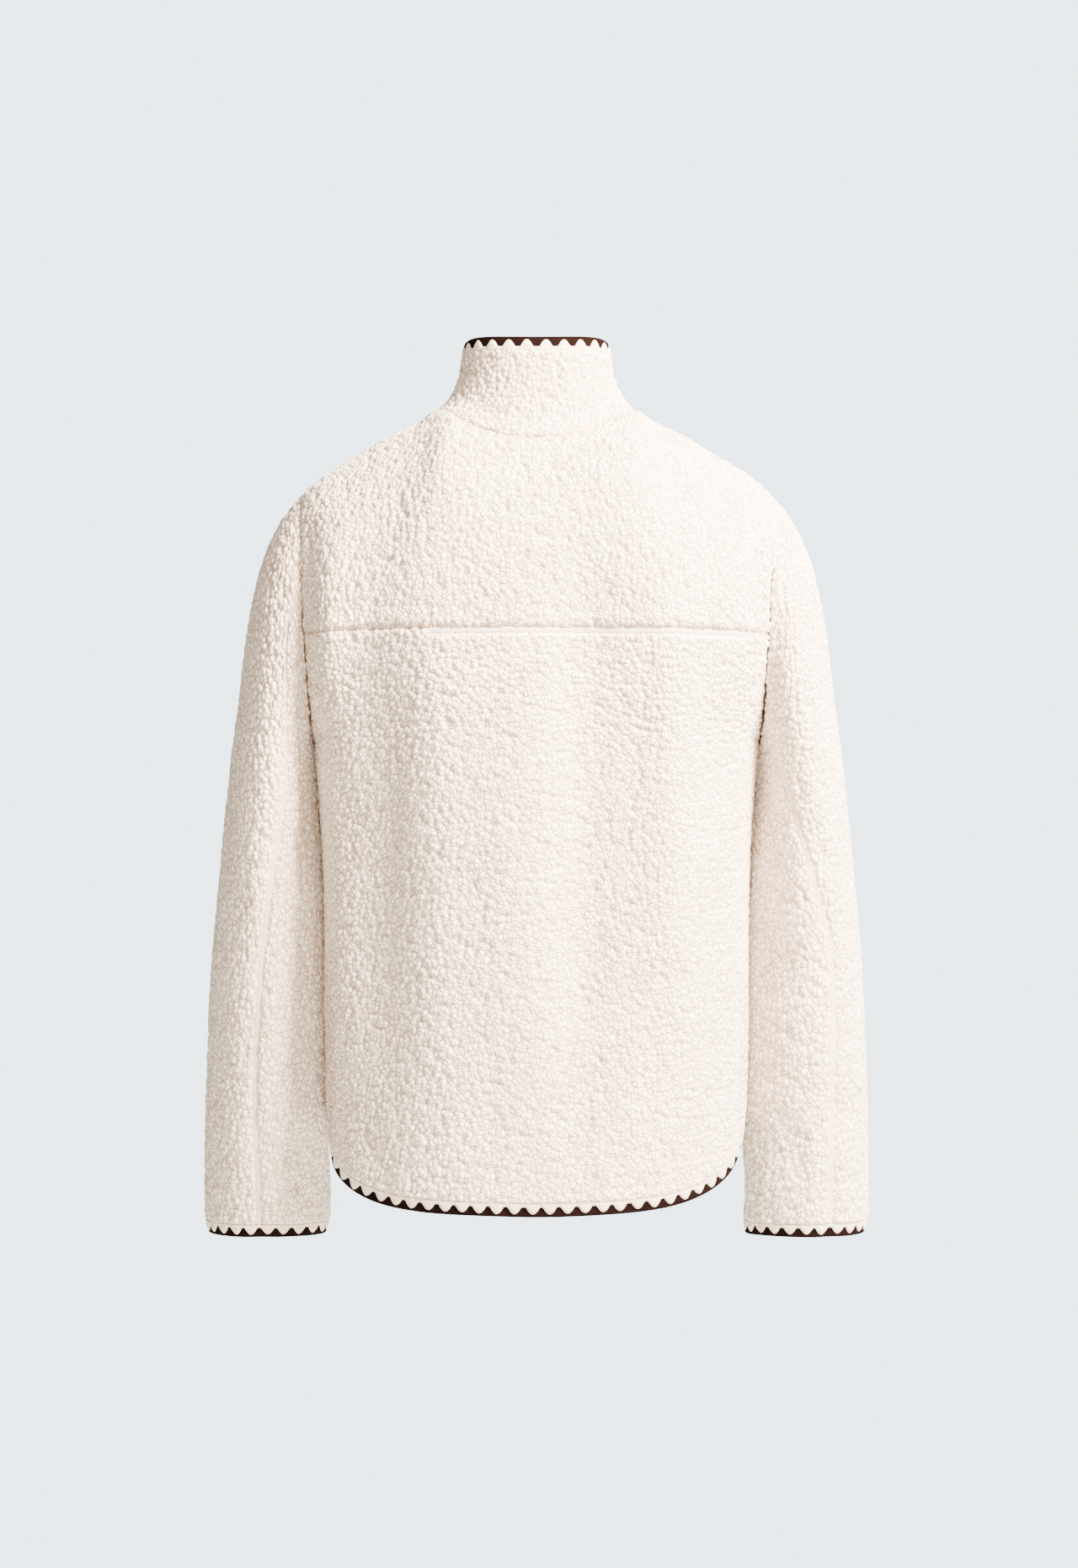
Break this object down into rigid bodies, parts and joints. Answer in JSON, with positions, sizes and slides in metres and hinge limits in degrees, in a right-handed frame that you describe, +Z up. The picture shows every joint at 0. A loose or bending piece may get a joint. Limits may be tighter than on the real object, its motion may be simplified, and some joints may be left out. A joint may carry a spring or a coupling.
{
  "type": "faux shearling jacket",
  "caption": "Hip-length faux shearling jacket with a stand collar, back yoke, straight sleeves, curved hem, front zip and dark bound edges with a cream scalloped braid",
  "frame": {"origin": "the middle of the neck opening at the height of the collar seam, where a wearer or a bust carries the jacket", "axes": "+Z up, the front faces -Y, the wearer's left is +X"},
  "size_m": [0.5577, 0.2611, 0.7418],
  "materials": {
    "cream_pile": "curly cream sherpa pile with a soft matt surface",
    "dark_binding": "dark reddish brown knitted binding, matt",
    "cream_braid": "cream woven braid with a scalloped edge, matt",
    "zip_tape": "beige woven tape",
    "zip_metal": "brushed pale metal"
  },
  "bodies": {
    "garment": {"back_panel": "cream_pile", "back_yoke": "cream_pile", "collar": "cream_pile", "collar_binding": "dark_binding", "collar_braid": "cream_braid", "cuff_binding_left": "dark_binding", "cuff_binding_right": "dark_binding", "cuff_braid_left": "cream_braid", "cuff_braid_right": "cream_braid", "front_left": "cream_pile", "front_right": "cream_pile", "hem_binding": "dark_binding", "hem_braid": "cream_braid", "sleeve_left": "cream_pile", "sleeve_right": "cream_pile", "zip_slider": "zip_metal", "zip_tape_left": "zip_tape", "zip_tape_right": "zip_tape"},
    "pull_tab": {"zip_pull": "zip_metal"}
  },
  "joints": [
    {"name": "pull_swing", "type": "hinge", "parent": "garment", "child": "pull_tab", "pos_m": [0, -0.07912, 0.01095], "axis": [-1, 0, 0], "range_deg": [0, 150]}
  ]
}
